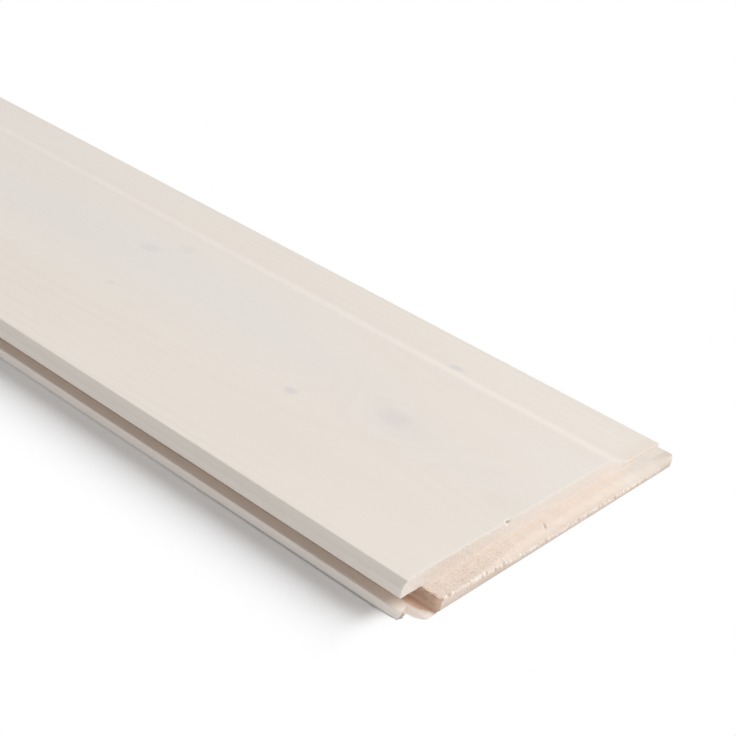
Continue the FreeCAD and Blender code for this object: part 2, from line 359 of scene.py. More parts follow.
# %% [markdown]
# ## A fine grid on the milled end
# The cutter that shapes the end tears the wood a little, and that shows in the photograph as
# a stippled surface and a ragged edge. A bump in the material can't change an outline, so the last
# few millimetres get real points to move. Slicing with parallel planes keeps the flat sides flat
# and closed. Halving the stack of planes each time means each slice only looks at its own faces.

# %% Slice the near end
GRID = 0.32 * MM
ROUGH_LENGTH = 3.2 * MM
ON_PLANE = 0.001 * MM


def planes_between(start, stop, spacing):
    """Evenly spaced plane positions strictly between two limits."""
    count = round((stop - start) / spacing)
    return [start + (stop - start) * i / count for i in range(1, count)]


def slice_faces(faces, axis, planes):
    """Cuts the faces at every plane across the axis, and returns all that they become."""
    if not planes or not faces:
        return faces
    middle = len(planes) // 2
    normal = Vector([float(i == axis) for i in range(3)])
    touched = set(faces)
    for surface in faces:
        touched.update(surface.edges)
        touched.update(surface.verts)
    made = bmesh.ops.bisect_plane(shape, geom=list(touched), dist=ON_PLANE,
                                  plane_co=normal * planes[middle], plane_no=normal)
    pieces = [part for part in made["geom"] if isinstance(part, bmesh.types.BMFace)]
    before = [part for part in pieces if part.calc_center_bounds()[axis] < planes[middle]]
    after = [part for part in pieces if part.calc_center_bounds()[axis] >= planes[middle]]
    return slice_faces(before, axis, planes[:middle]) + slice_faces(after, axis, planes[middle + 1:])


rough_start = shoulder - ROUGH_LENGTH
slice_faces(list(shape.faces), 0, [rough_start])
milled = [part for part in shape.faces if part.calc_center_bounds().x > rough_start]
milled = slice_faces(milled, 0, planes_between(rough_start, end, GRID))
milled = slice_faces(milled, 2, planes_between(back, face, GRID))
milled = slice_faces(milled, 1, planes_between(nose, tip, GRID))
print("milled end", len(milled), "faces of", len(shape.faces))

# %% [markdown]
# ## The tongue's front edge and root
# Near the groove the tongue's front top edge is left sharp. Towards the other side its top has been
# worn down in a curve that gets steeper until it stops at a low front, and less so at the corner. A
# bevel modifier has one width for an edge, so here the grid's points are pulled onto a curve that
# grows along the edge. The root, where the tongue meets the shoulder above it, is pulled into a small
# hollow in the same way: the photograph shows no line there. It fades out where the step gets low.

# %% Ease the front edge
EDGE_BACK = 3.6 * MM
EDGE_DROP = 2.2 * MM
WORN_FROM = -50.0 * MM
WORN_TO = -8.0 * MM
CORNER_FROM = 49.0 * MM
CORNER_TO = 57.0 * MM
CORNER_KEEP = 0.75
SHARPEST = 0.06


def closeness(distance, reach):
    """1 at no distance, falling smoothly to 0 at reach."""
    share = max(0.0, 1.0 - distance / reach)
    return share * share * (3 - 2 * share)


def worn(y):
    """The share of the full wear that the front edge has there: least near the groove and corner."""
    from_groove = 1.0 - closeness(max(0.0, y - WORN_FROM), WORN_TO - WORN_FROM)
    at_corner = 1.0 - closeness(max(0.0, y - CORNER_FROM), CORNER_TO - CORNER_FROM)
    return max(SHARPEST, from_groove - at_corner * CORNER_KEEP)


eased = 0
for point in shape.verts:
    share = worn(point.co.y)
    in_x = 1 + (point.co.x - end) / (EDGE_BACK * share)
    in_z = (end_top - point.co.z) / (EDGE_DROP * share)
    if max(in_z, 0.0) < min(in_x, 1.0):
        along = (in_x + in_z) / 2
        point.co.x = end - EDGE_BACK * share * (1 - along)
        point.co.z = end_top - EDGE_DROP * share * along ** 2
        eased += 1
print("points on the eased edge", eased)

# %% Hollow the root
ROOT_RADIUS = 0.6 * MM
ROOT_LEAST = 0.05 * MM
ROOT_TO = 39.0 * MM
ROOT_FADE = 4.0 * MM
ON_FACE = 0.01 * MM
WORN_FACING_UP = 0.45

hollowed = 0
for point in shape.verts:
    radius = ROOT_RADIUS * (1 - closeness(max(0.0, ROOT_TO - point.co.y), ROOT_FADE))
    radius *= 1 - closeness(max(0.0, point.co.y - groove_rear), ROOT_FADE)
    up = point.co.z - end_top
    outward = point.co.x - shoulder
    in_corner = min(up, outward) > -ON_FACE and min(abs(up), abs(outward)) < ON_FACE
    if in_corner and radius > ROOT_LEAST and max(up, outward) < radius:
        sweep = QUARTER * (radius + up - outward) / (2 * radius)
        point.co.x = shoulder + radius * (1 - math.sin(sweep))
        point.co.z = end_top + radius * (1 - math.cos(sweep))
        hollowed += 1
shape.normal_update()
for surface in shape.faces:
    if surface.normal.z > WORN_FACING_UP and surface.calc_center_bounds().x > end - EDGE_BACK:
        surface.material_index = LONG_GRAIN
print("points on the root's hollow", hollowed)

# %% [markdown]
# ## Torn by the cutter
# Across the grain a cutter pulls fibres out as well as cutting them. The tongue's top is furred
# most near the groove, and its front edge stands up in a burr. The painted edge above has one
# chip, the tongue one short crack, and its edge along the groove is frayed. The lower lip ends in
# a ragged stub, and its thin curl droops. Each is a small move of the grid's points, from noise that
# is the same on every run. Nothing moves out of the board's box.

# %% Fur, burr and nicks
FUR_FROM = 15 * MM
FUR_REACH = 50 * MM
BURR_REACH = 0.8 * MM
NICK_REACH = 0.5 * MM


def ripple(place, waves, offset=0.0):
    """Noise from about -1 to 1, with so many waves to the millimetre."""
    return noise.noise(place * (waves / MM) + Vector((offset, offset, offset)))


def fur(place, normal, furred):
    """The stipple that all bare wood of the end has."""
    depth = 0.03 * ripple(place, 1.0) + 0.05 * ripple(place, 2.4, 7.0)
    return normal * depth * (0.35 + furred)


def burr(place, furred):
    """Tufts that stand up along the tongue's front edge, and tears between them."""
    edge_height = end_top - EDGE_DROP * worn(place.y)
    near = closeness(max(abs(place.x - end), abs(place.z - edge_height)), BURR_REACH)
    along_edge = Vector((0.0, place.y, 0.0))
    tuft = ripple(along_edge, 0.7, 3.0)
    tear = max(0.0, ripple(along_edge, 0.21, 5.0) - 0.2)
    back_in = 0.25 * (0.4 - tuft) * furred + 0.5 * tear
    return near * Vector((-back_in, 0.0, 0.55 * tuft * furred - 0.9 * tear))


def nicks(place):
    """Small bites out of the painted edge above the shoulder."""
    near = closeness(max(abs(place.x - shoulder), abs(place.z - face)), NICK_REACH)
    nick = max(0.0, ripple(Vector((0.0, place.y, 0.0)), 0.8, 11.0) - 0.1)
    return near * nick * Vector((-0.30, 0.0, -0.22))


print("fur fades out", round((nose + FUR_FROM + FUR_REACH) / MM, 1), "mm from the middle")

# %% Chip and crack
CHIP = Vector((shoulder, -18.3 * MM, face))
CHIP_REACH = 0.9 * MM
CRACK = Vector((shoulder + 3.3 * MM, -4.9 * MM, end_top))
CRACK_WAY = Vector((0.87, -0.49))
CRACK_REACH = 1.0 * MM


def chip_and_crack(place):
    """One chip in the painted edge, and one short slanting crack in the tongue's top."""
    off = place - CHIP
    chip = closeness(math.hypot(off.x, off.y / 1.8, off.z / 1.5), CHIP_REACH)
    off = place - CRACK
    along = off.x * CRACK_WAY.x + off.y * CRACK_WAY.y
    across = off.y * CRACK_WAY.x - off.x * CRACK_WAY.y
    crack = closeness(math.hypot(along / 1.5, across / 0.5, off.z), CRACK_REACH)
    return Vector((-0.3 * chip, 0.0, -0.9 * chip - 0.5 * crack))


print("chip at", [round(value / MM, 1) for value in CHIP], "mm")

# %% Frayed edge and torn lip
FRAY_REACH = 0.6 * MM
STUB_REACH = 1.8 * MM
STUB_WIDTH = 3.5 * MM
STUB_LENGTH = 0.85
STUB_LEAN = 0.75
BELOW_CURL = 0.02 * MM
OVER_CURL = 0.05 * MM
CURL_EDGE = 1.3 * MM
CURL_DROOP = 0.5


def frayed_edge(place):
    """The tongue's edge along the groove, which is frayed except at its front corner."""
    near = closeness(max(abs(place.y - groove_rear), abs(place.z - end_top)), FRAY_REACH)
    if place.x <= shoulder:
        return Vector((0.0, 0.0, 0.0))
    near *= 1 - closeness(end - place.x, 1.5 * FRAY_REACH)
    along_edge = Vector((place.x, 0.0, 0.0))
    pulled = max(0.0, ripple(along_edge, 0.7, 13.0))
    return near * Vector((0.0, 0.5 * ripple(along_edge, 0.9, 4.0), -0.3 * pulled))


def torn_lip(place):
    """The lower lip's ragged stub, and its thin curl, which hangs a little at the edge."""
    move = Vector((0.0, 0.0, 0.0))
    near = closeness(abs(place.x - lower_shoulder), STUB_REACH)
    if place.z < groove_floor and place.y < lip + STUB_WIDTH:
        stub = STUB_LENGTH
        if place.z < end_under - BELOW_CURL:
            stub += STUB_LEAN * place.z / end_under
        move.x = near * (stub + 0.5 * ripple(place, 0.8, 2.0))
        move.y = near * 0.25 * (1 + ripple(place, 1.2, 9.0))
    on_curl = place.x > lower_shoulder and place.y < groove_rear
    if on_curl and place.z < groove_floor + OVER_CURL:
        past_curl = max(0.0, place.x - (end - LIP_CURL))
        from_middle = math.hypot(past_curl, place.y - (lip + LIP_INSET + LIP_CURL))
        move.z = -CURL_DROOP * closeness(max(0.0, LIP_CURL - from_middle), CURL_EDGE)
    return move


print("curl of the lip hangs by up to", CURL_DROOP, "mm")

# %% Roughen the milled end
ROUGH_MARGIN = 0.1 * MM


def torn(place, normal, finishes):
    """How far the cutter has moved a point of the end, in millimetres."""
    furred = closeness(max(0.0, place.y - nose - FUR_FROM), FUR_REACH)
    move = burr(place, furred) + nicks(place) + chip_and_crack(place)
    move += frayed_edge(place) + torn_lip(place)
    if finishes - {PAINT}:
        move += fur(place, normal, furred)
    return move


shape.normal_update()
moves = {}
for point in shape.verts:
    if point.co.x > rough_start + ROUGH_MARGIN:
        finishes = {surface.material_index for surface in point.link_faces}
        moves[point] = torn(point.co.copy(), point.normal.copy(), finishes) * MM
for point, move in moves.items():
    moved = point.co + move
    point.co = Vector([min(max(moved[i], low[i]), high[i]) for i in range(3)])
furthest = max(move.length for move in moves.values())
print("moved points", len(moves), "furthest", round(furthest / MM, 2), "mm")

# %% Back to the mesh
SHARP_FROM = math.radians(32)

shape.normal_update()
board_mesh = planed_board.data
shape.to_mesh(board_mesh)
shape.free()
for surface in board_mesh.polygons:
    surface.use_smooth = True
board_mesh.set_sharp_from_angle(angle=SHARP_FROM)
print("board", len(board_mesh.vertices), "points, changed by checking:", board_mesh.validate())

# %% [markdown]
# ## Node maths that reads like arithmetic
# Wood is best described with formulas, and formulas are hard to read as a picture of nodes. This
# small class wraps a socket, so that `1 - mask` adds a Math node and gives back its result. Its one
# method adds any other node: the type, then its settings, then what goes into its sockets.

# %% A socket to calculate with


class Wire:
    """A node's output in a tree. With no socket it is just the tree to start from."""

    def __init__(self, tree, socket=None):
        self.tree = tree
        self.socket = socket

    def node(self, kind, settings=None, sockets=None, out=0):
        """Adds a node and returns a wire from one of its outputs."""
        made = self.tree.nodes.new(kind)
        for name, value in (settings or {}).items():
            setattr(made, name, value)
        for name, value in (sockets or {}).items():
            if isinstance(value, Wire):
                self.tree.links.new(value.socket, made.inputs[name])
            else:
                made.inputs[name].default_value = value
        return Wire(self.tree, made.outputs[out] if made.outputs else None)

    def math(self, operation, *values):
        return self.node("ShaderNodeMath", {"operation": operation}, dict(enumerate(values)))

    def __add__(self, other):
        return self.math("ADD", self, other)

    def __radd__(self, other):
        return self.math("ADD", other, self)

    def __sub__(self, other):
        return self.math("SUBTRACT", self, other)

    def __rsub__(self, other):
        return self.math("SUBTRACT", other, self)

    def __mul__(self, other):
        return self.math("MULTIPLY", self, other)

    def __rmul__(self, other):
        return self.math("MULTIPLY", other, self)

    def __truediv__(self, other):
        return self.math("DIVIDE", self, other)

    def __rtruediv__(self, other):
        return self.math("DIVIDE", other, self)

    def __pow__(self, other):
        return self.math("POWER", self, other)

    def __rpow__(self, other):
        return self.math("POWER", other, self)


print("reflected operators", [name for name in vars(Wire) if name.startswith("__r")])

# %% Helpers for masks and colours


def rise(value, start, stop):
    """0 below start, 1 above stop, and a smooth climb between them."""
    return value.node("ShaderNodeMapRange", {"interpolation_type": "SMOOTHSTEP"},
                      {"Value": value, "From Min": start, "From Max": stop}, "Result")


def fall(value, start, stop):
    """1 below start, 0 above stop, and a smooth descent between them."""
    return 1 - rise(value, start, stop)


def blend(factor, first, second):
    """The first colour where factor is 0, the second where it is 1."""
    return factor.node("ShaderNodeMix", {"data_type": "RGBA"},
                       {"Factor": factor, 6: first, 7: second}, 2)


def cloud(place, stretch, detail=2.0, roughness=0.5):
    """Soft noise from 0 to 1; stretch says how many waves a millimetre along each axis."""
    spread = place.node("ShaderNodeVectorMath", {"operation": "MULTIPLY"}, {0: place, 1: stretch})
    return place.node("ShaderNodeTexNoise", {"noise_dimensions": "3D"},
                      {"Vector": spread, "Scale": 1.0, "Detail": detail, "Roughness": roughness})


def srgb(red, green, blue):
    """A colour as a screen shows it, from 0 to 255, in the linear numbers that nodes use."""
    channels = []
    for channel in (red, green, blue):
        part = channel / 255
        channels.append(part / 12.92 if part <= 0.04045 else ((part + 0.055) / 1.055) ** 2.4)
    return (*channels, 1.0)


print("white paint in linear numbers", [round(part, 3) for part in srgb(231, 223, 214)])

# %% [markdown]
# ## Solid spruce
# A plank is cut from a trunk, so its figure is a slice through rings that go round the tree's
# middle. If the rings are described in space, the face gets arches, the sides get lines and the
# ends get curves, all matching at the edges, which no wrapped pattern would do. The trunk's middle
# is put below the board; the rings lean with the trunk's taper, waver a little, and swing round each
# knot. A knot has a place along and across the board, a radius and a darkness, in millimetres.

# %% Rings, fibres and knots
RING = 2.3
PITH = (-8.0, -46.0)
TAPER = 0.020
WAVER = 9.0
KNOT_STRETCH = 1.25
SWING_BASE = 2.718
SWING_REACH = 1.6
SWING_HEIGHT = 0.8
KNOTS = [
    (981.0, -3.5, 6.2, 0.66),
    (984.5, -5.0, 10.0, 0.36),
    (974.0, -0.5, 5.0, 0.22),
    (869.5, 10.5, 4.2, 0.75),
    (876.0, 20.5, 3.4, 0.45),
    (955.5, -17.5, 2.5, 1.35),
    (968.5, 42.0, 3.0, 2.0),
    (882.0, -16.5, 1.9, 0.7),
]
knot_chance = random.Random(11)
for along in range(-960, 800, 118):
    KNOTS.append((along + knot_chance.uniform(-45, 45), knot_chance.uniform(-46, 44),
                  knot_chance.uniform(1.6, 5.4), knot_chance.uniform(0.4, 0.95)))


def spruce(wire):
    """Readings of the wood at each point, in a dict: where it is, summer wood, fibres and knots."""
    metres = wire.node("ShaderNodeTexCoord", out="Object")
    place = wire.node("ShaderNodeVectorMath", {"operation": "SCALE"},
                      {0: metres, "Scale": 1 / MM})
    x, y, z = (wire.node("ShaderNodeSeparateXYZ", None, {0: place}, axis) for axis in "XYZ")
    waver = cloud(place, (0.005, 0.035, 0.035)) - 0.5
    knot = 0.0
    swing = 0.0
    for along, across, radius, dark in KNOTS:
        away = (((x - along) / KNOT_STRETCH) ** 2 + (y - across) ** 2) ** 0.5
        knot = knot + fall(away, radius * 0.25, radius) * dark
        pull = SWING_BASE ** (away / (-SWING_REACH * radius))
        swing = swing + pull * (radius * SWING_HEIGHT)
    ring = ((y - PITH[0]) ** 2 + (z - PITH[1]) ** 2) ** 0.5
    ring = ring + waver * WAVER + x * TAPER + swing
    part = wire.math("FRACT", ring / RING)
    summer = rise(part, 0.35, 0.9) * fall(part, 0.93, 1.0)
    fibres = cloud(place, (0.03, 1.6, 1.6), 3.0, 0.6)
    return {"place": place, "x": x, "y": y, "z": z, "summer": summer, "fibres": fibres, "knot": knot}


print("knots", len(KNOTS), "rings through the thickness", round((face - back) / MM / RING, 1))

# %% [markdown]
# ## White paint over the grain
# The face has a thin coat of off-white paint. It hides the wood's colour almost wholly, but not
# its shape: the rings and knots show through as faint warm lines and soft grey-blue spots,
# and the fibres leave fine lengthwise lines in the coat. So the paint is one colour, shaded a few
# percent by the wood below, with a bump from the fibres. A knot bleeds through cooler than the rest.
# The coat is thin at the shelf's end. The step's slope is painted darker, as shade that dims the light
# it catches. The lower lip's paint is made brighter as painted light, and its foot is painted dark as
# shade where it meets the floor. A pair of numbers such as STEP_FROM says where a mask begins and
# where it is full, in millimetres.

# %% Colours and places of the paint
END_MM = end / MM
SHOULDER_MM = shoulder / MM
FACE_MM = face / MM
END_TOP_MM = end_top / MM
PAINT_LIGHT = srgb(233, 225, 216)
PAINT_DARK = srgb(226, 217, 207)
PAINT_COOL = srgb(227, 221, 217)
PAINT_PORE = srgb(205, 192, 180)
PAINT_KNOT = srgb(206, 200, 201)
PAINT_CUT = srgb(243, 237, 230)
# The next colour is painted light: the lower lip's paint made brighter than the face's. The one after it
# is painted shade, dark where the lip's foot meets the floor.
LIP_PAINTED_LIGHT = srgb(251, 243, 235)
LIP_FOOT_SHADE = srgb(126, 118, 112)
# The next colour is painted shade that dims the light on the step's slope.
STEP_PAINTED_SHADE = srgb(212, 203, 194)
THIN_PAINT = srgb(228, 206, 190)
# The next colour is the bare wood in the chip, made much darker as painted shade.
CHIP_WOOD_AND_SHADE = srgb(150, 128, 112)
FACE_MIDDLE = 6.0
STEP_MIDDLE = 35.5
STEP_FROM = (26.0, 31.0)
STEP_TO = (40.0, 46.5)
SHELF_FROM = (39.0, 44.0)
FAR_PART = (780.0, 1000.0)
FOOT_SHADE_NEAR = (930.0, 1000.0)
LIP_SIDE = (-58.0, -57.0)
LIP_TOP = (2.8, 3.6)
FOOT_SHADE_TOP = (0.15, 0.75)
print("step painted from", STEP_FROM[0], "to", STEP_TO[1], "mm, chip", round(CHIP.y / MM, 1), "mm")

# %% Helpers for a finish


def new_finish(name):
    """An empty node material, and a wire to start from."""
    material = bpy.data.materials.new(name)
    material.use_nodes = True
    material.node_tree.nodes.clear()
    return material, Wire(material.node_tree)


def finish_surface(wire, sockets):
    """The shader that every finish ends in."""
    shader = wire.node("ShaderNodeBsdfPrincipled", None, sockets)
    wire.node("ShaderNodeOutputMaterial", None, {"Surface": shader})


def distance_to(wood, spot):
    """How many millimetres each point is from one spot of the board."""
    return wood["x"].node("ShaderNodeVectorMath", {"operation": "DISTANCE"},
                          {0: wood["place"], 1: spot}, "Value")


print("helpers", [helper.__name__ for helper in (new_finish, finish_surface, distance_to)])

# %% Paint on the face and the step


def paint_over_wood(wood):
    """The coat, shaded by the rings and fibres under it, and cooler along the face's middle."""
    place = wood["place"]
    coat = cloud(place, (0.012, 0.05, 0.05), 2.0)
    thin_coat = rise(cloud(place, (0.006, 0.03, 0.03), 1.0), 0.34, 0.62)
    through = wood["summer"] * thin_coat * 0.34
    through = through + (wood["fibres"] - 0.5) * 0.5 + (coat - 0.5) * 0.7
    colour = blend(rise(through, -0.5, 0.9), PAINT_LIGHT, PAINT_DARK)
    off_middle = wood["y"].math("ABSOLUTE", wood["y"] - FACE_MIDDLE)
    patches = rise(cloud(place, (0.01, 0.03, 0.03), 1.0), 0.3, 0.6)
    return blend(fall(off_middle, 6.0, 34.0) * patches * 0.55, colour, PAINT_COOL)


def step_painted_shade(wood, colour):
    """Painted shade that dims the light on the step's slope, most of all towards the far end and, near
    the end, off the slope's middle.
    """
    on_step = rise(wood["y"], *STEP_FROM) * fall(wood["y"], *STEP_TO)
    off_middle = wood["y"].math("ABSOLUTE", wood["y"] - STEP_MIDDLE)
    step_middle = fall(off_middle, 1.0, 5.0)
    far = fall(wood["x"], *FAR_PART)
    share = 0.27 + far * 0.24 + (1 - step_middle) * (1 - far) * 0.17
    return blend(on_step * share, colour, STEP_PAINTED_SHADE)


# Near the end, the step's painted shade is least at STEP_MIDDLE, which keeps the middle of the slope
# bright.
print("coolest", FACE_MIDDLE, "mm and thinnest", STEP_MIDDLE, "mm from the middle")

# %% Paint on the lip and at the end


def lip_painted_light_and_shade(wood, colour):
    """Painted light that brightens the lower lip's paint, and painted shade at its foot where it meets
    the floor, deeper near the end.
    """
    on_lip = fall(wood["y"], *LIP_SIDE) * fall(wood["z"], *LIP_TOP)
    colour = blend(on_lip * 0.9, colour, LIP_PAINTED_LIGHT)
    share = 0.3 + rise(wood["x"], *FOOT_SHADE_NEAR) * 0.5
    return blend(on_lip * fall(wood["z"], *FOOT_SHADE_TOP) * share, colour, LIP_FOOT_SHADE)


def paint_at_end(wood, colour, pores):
    """The chip, its bare wood painted dark as shade, the thin coat at the shelf's end, and the paint's
    bright cut edge.
    """
    from_chip = distance_to(wood, tuple(value / MM for value in CHIP))
    in_chip = fall(from_chip, 1.1, 1.7) * fall(wood["z"], FACE_MM - 0.45, FACE_MM - 0.12)
    colour = blend(in_chip * 0.9, colour, CHIP_WOOD_AND_SHADE)
    thin_at_end = rise(wood["x"], SHOULDER_MM - 8.0, SHOULDER_MM - 0.5)
    colour = blend(thin_at_end * rise(wood["y"], *SHELF_FROM) * 0.4, colour, THIN_PAINT)
    cut_edge = rise(wood["x"], SHOULDER_MM - 0.9, SHOULDER_MM - 0.1)
    return blend(cut_edge * rise(pores, 0.3, 0.6) * 0.6, colour, PAINT_CUT)


print("paint ends at the shoulder,", round(SHOULDER_MM, 2), "mm from the middle")

# %% Material for the painted faces
white_paint, wire = new_finish("white_paint")
wood = spruce(wire)
pores = cloud(wood["place"], (0.07, 2.6, 2.6), 2.0, 0.5)
paint_colour = step_painted_shade(wood, paint_over_wood(wood))
paint_colour = blend(rise(pores, 0.64, 0.78) * 0.30, paint_colour, PAINT_PORE)
paint_colour = blend(wood["knot"] * 0.38, paint_colour, PAINT_KNOT)
paint_colour = paint_at_end(wood, lip_painted_light_and_shade(wood, paint_colour), pores)
lines = cloud(wood["place"], (0.10, 3.2, 3.2), 3.0, 0.65)
relief = wood["fibres"] * 0.5 + lines * 0.5 - wood["summer"] * 0.15
paint_bump = wire.node("ShaderNodeBump", None,
                       {"Strength": 0.20, "Distance": 0.12 * MM, "Height": relief})
finish_surface(wire, {"Base Color": paint_colour, "Roughness": 0.46 + (lines - 0.5) * 0.2,
                      "IOR": 1.45, "Normal": paint_bump})
print("white_paint", len(wire.tree.nodes), "nodes")

# %% [markdown]
# ## Bare wood
# The grooves, the tongues and the back never saw the paint brush. Spruce there is a warm pale
# pink-brown, a little darker where a ring has its summer wood, and brown in a knot. The milled end
# has more to tell than that, and each thing it tells is a mask from its place on the board, mixed
# over the wood's colour.

# %% Colours and places of the bare wood
BARE_LIGHT = srgb(230, 217, 205)
BARE_DARK = srgb(216, 198, 182)
BARE_KNOT = srgb(158, 118, 90)
# The next two colours are partly painted light: pale fibres with painted highlights, and pits darkened as
# painted shade.
PALE_FIBRE_AND_HIGHLIGHT = srgb(243, 235, 227)
PIT_SHADE = srgb(186, 152, 130)
# The next two colours are painted shade inside the groove at the end, dark and lighter.
GROOVE_SHADE = srgb(190, 154, 128)
GROOVE_SHADE_LIGHT = srgb(226, 191, 168)
SPRAY = srgb(228, 219, 210)
LIP_SPRAY = srgb(243, 231, 221)
# The next colour is pale torn wood, made brighter still as painted light.
LIP_TORN_AND_LIT = srgb(255, 244, 232)
# The next colour is painted light against the shade of the corner at the shoulder's foot; the one after
# it is painted shade on the tongue's root and its hollow.
SHOULDER_FOOT_LIGHT = srgb(247, 238, 230)
ROOT_PAINTED_SHADE = srgb(206, 192, 181)
# The next colour is painted shade on the tongue's eased front edge, whose curve catches more light than
# the top.
EDGE_PAINTED_SHADE = srgb(196, 180, 166)
GROOVE_MM = groove_rear / MM
TIP_MM = tip / MM
LIP_TEAR = (1027.0, -57.2, 3.0)
FURRED_PART = (-40.0, -6.0)
ROOT_END = (36.0, 41.0)
SPRAYED_END = (24.0, 46.0)
CORNER_SHADE_PART = (34.0, 44.0)
GROOVE_BOTTOM = (1.9, 2.5)
GROOVE_ROOF = (7.2, 7.5)
print("the groove's back is", round(GROOVE_MM, 2), "mm from the middle")

# %% Plain bare wood


def bare_colour(wood, grain):
    """Bare spruce: light spring wood, slightly darker summer wood, its own grain, and brown knots."""
    depth = wood["summer"] * 0.14 + (grain - 0.5) * 1.1
    colour = blend(rise(depth, -0.45, 0.75), BARE_LIGHT, BARE_DARK)
    return blend(wood["knot"] * 0.7, colour, BARE_KNOT)


print("bare wood in linear numbers", [round(part, 3) for part in BARE_LIGHT])

# %% [markdown]
# ## What the cutter and wear left
# The end's cutter left small pits and pale standing fibres, most of them near the groove and along
# the tongue's front edge. Pits and fibres are the low and the high parts of one noise: the pits are
# painted shade, and the fibres are pale wood with painted highlights, as is a bright line along the
# tongue's front edge. Where the tongue's top is worn down in a curve, the curve is painted darker,
# as shade. The shoulder's foot has painted light against the shade of the corner, and the root below
# it has painted shade, so that the hollow there doesn't shine.

# %% Torn and worn wood


def torn_top(wood, colour, on_end):
    """Pits of painted shade, and pale fibres with painted highlights, on the tongue, most of them near
    the groove.
    """
    near_groove = fall(wood["y"], *FURRED_PART)
    flecks = cloud(wood["place"], (2.2, 2.2, 2.2), 2.0, 0.6)
    torn_part = on_end * (near_groove * 0.38 + 0.1)
    colour = blend(fall(flecks, 0.36, 0.47) * torn_part, colour, PIT_SHADE)
    colour = blend(rise(flecks, 0.53, 0.64) * torn_part, colour, PALE_FIBRE_AND_HIGHLIGHT)
    return blend(on_end * near_groove * 0.3, colour, BARE_DARK)


def worn_front(wood, colour, on_end, tufts):
    """Painted shade where the tongue is worn down in a curve, and along its front edge a painted
    highlight line, pits of painted shade and pale tufts.
    """
    wear = rise(wood["y"], WORN_FROM / MM, WORN_TO / MM)
    wear = wear - rise(wood["y"], CORNER_FROM / MM, CORNER_TO / MM) * CORNER_KEEP
    eased_edge_shade = rise(END_TOP_MM - wood["z"], 0.1, 1.8) * on_end * rise(wear, 0.0, 0.4)
    colour = blend(eased_edge_shade * 0.45, colour, EDGE_PAINTED_SHADE)
    over_edge = wood["z"] - END_TOP_MM + wear * (EDGE_DROP / MM)
    front = rise(over_edge, -0.6, -0.3) * fall(over_edge, 0.3, 0.7)
    front = front * rise(wood["x"], END_MM - 1.0, END_MM - 0.5)
    colour = blend(front * 0.2, colour, PALE_FIBRE_AND_HIGHLIGHT)
    colour = blend(front * fall(tufts, 0.36, 0.46) * 0.7, colour, PIT_SHADE)
    return blend(front * rise(tufts, 0.52, 0.62) * 0.6, colour, PALE_FIBRE_AND_HIGHLIGHT)


def frayed_side_and_root(wood, colour, on_end, tufts):
    """Pits of painted shade in the tongue's edge along the groove, painted light on the shoulder's foot,
    and painted shade on the root and its hollow.
    """
    up = wood["z"] - END_TOP_MM
    groove_side = on_end * rise(up, -0.7, -0.3) * fall(up, 0.2, 0.4)
    groove_side = groove_side * fall(wood["y"], GROOVE_MM + 0.3, GROOVE_MM + 1.1)
    colour = blend(groove_side * fall(tufts, 0.42, 0.50) * 0.75, colour, PIT_SHADE)
    foot_painted_light = on_end * rise(up, 0.3, 0.6) * fall(up, 0.6, 2.8)
    colour = blend(foot_painted_light * 0.3, colour, SHOULDER_FOOT_LIGHT)
    root = on_end * fall(up, 0.3, 0.6) * fall(wood["y"], *ROOT_END)
    root = root * fall(wood["x"], SHOULDER_MM + 0.2, SHOULDER_MM + 2.0)
    colour = blend(root * 0.3, colour, ROOT_PAINTED_SHADE)
    hollow = root * fall(wood["x"], SHOULDER_MM + 0.3, SHOULDER_MM + 0.6)
    return blend(hollow * rise(up, 0.0, 0.08) * 0.5, colour, ROOT_PAINTED_SHADE)


def torn_colour(wood, colour):
    """All that the end's cutter and wear did to the wood's colour, with the painted shade and light that
    go with it.
    """
    on_end = rise(wood["x"], SHOULDER_MM - 0.3, SHOULDER_MM + 0.1)
    tufts = cloud(wood["place"], (0.7, 1.1, 0.7), 2.0, 0.6)
    colour = torn_top(wood, colour, on_end)
    colour = worn_front(wood, colour, on_end, tufts)
    return frayed_side_and_root(wood, colour, on_end, tufts)


print("furred up to", FURRED_PART[1], "mm from the middle, root darker up to", ROOT_END[1], "mm")

# %% [markdown]
# ## Groove and spray
# Inside the groove at the end the wood is painted brown as shade, lighter towards the open end and
# the groove's floor, and paler again at its rim. Spray reached the edges of the tongues and of the
# lower lip, whose torn stub is paler still, brightened further as painted light. The curl's rim is
# found with the same circle that cut its plan.

# %% Wood in the groove and under the spray


def groove_colour(wood, colour):
    """The groove's end with painted shade inside, sprayed along the lower lip's edge, and pale where it
    tore, brightened as painted light.
    """
    in_groove = fall(wood["y"], GROOVE_MM - 0.1, GROOVE_MM + 0.2) * rise(wood["z"], *GROOVE_BOTTOM)
    in_groove = in_groove * fall(wood["z"], *GROOVE_ROOF)
    groove_shade_share = rise(wood["x"], SHOULDER_MM - 8.0, SHOULDER_MM - 1.0)
    paler = wood["y"].math("MAXIMUM", rise(wood["x"], END_MM - 2.6, END_MM - 0.6),
                           fall(wood["z"], 3.7, 4.9))
    colour = blend(in_groove * groove_shade_share, colour, blend(paler, GROOVE_SHADE, GROOVE_SHADE_LIGHT))
    past_curl = wood["y"].math("MAXIMUM", wood["x"] - (END_MM - LIP_CURL / MM), 0.0)
    curl_middle = (lip + LIP_INSET + LIP_CURL) / MM
    from_middle = (past_curl ** 2 + (wood["y"] - curl_middle) ** 2) ** 0.5
    rim = rise(from_middle, 2.5, 3.4) * fall(wood["z"], 3.5, 4.1)
    rim = rim * fall(wood["y"], GROOVE_MM - 1.6, GROOVE_MM - 0.8)
    colour = blend(in_groove * rim * 0.9, colour, LIP_SPRAY)
    return blend(fall(distance_to(wood, LIP_TEAR), 0.8, 3.0) * 0.9, colour, LIP_TORN_AND_LIT)


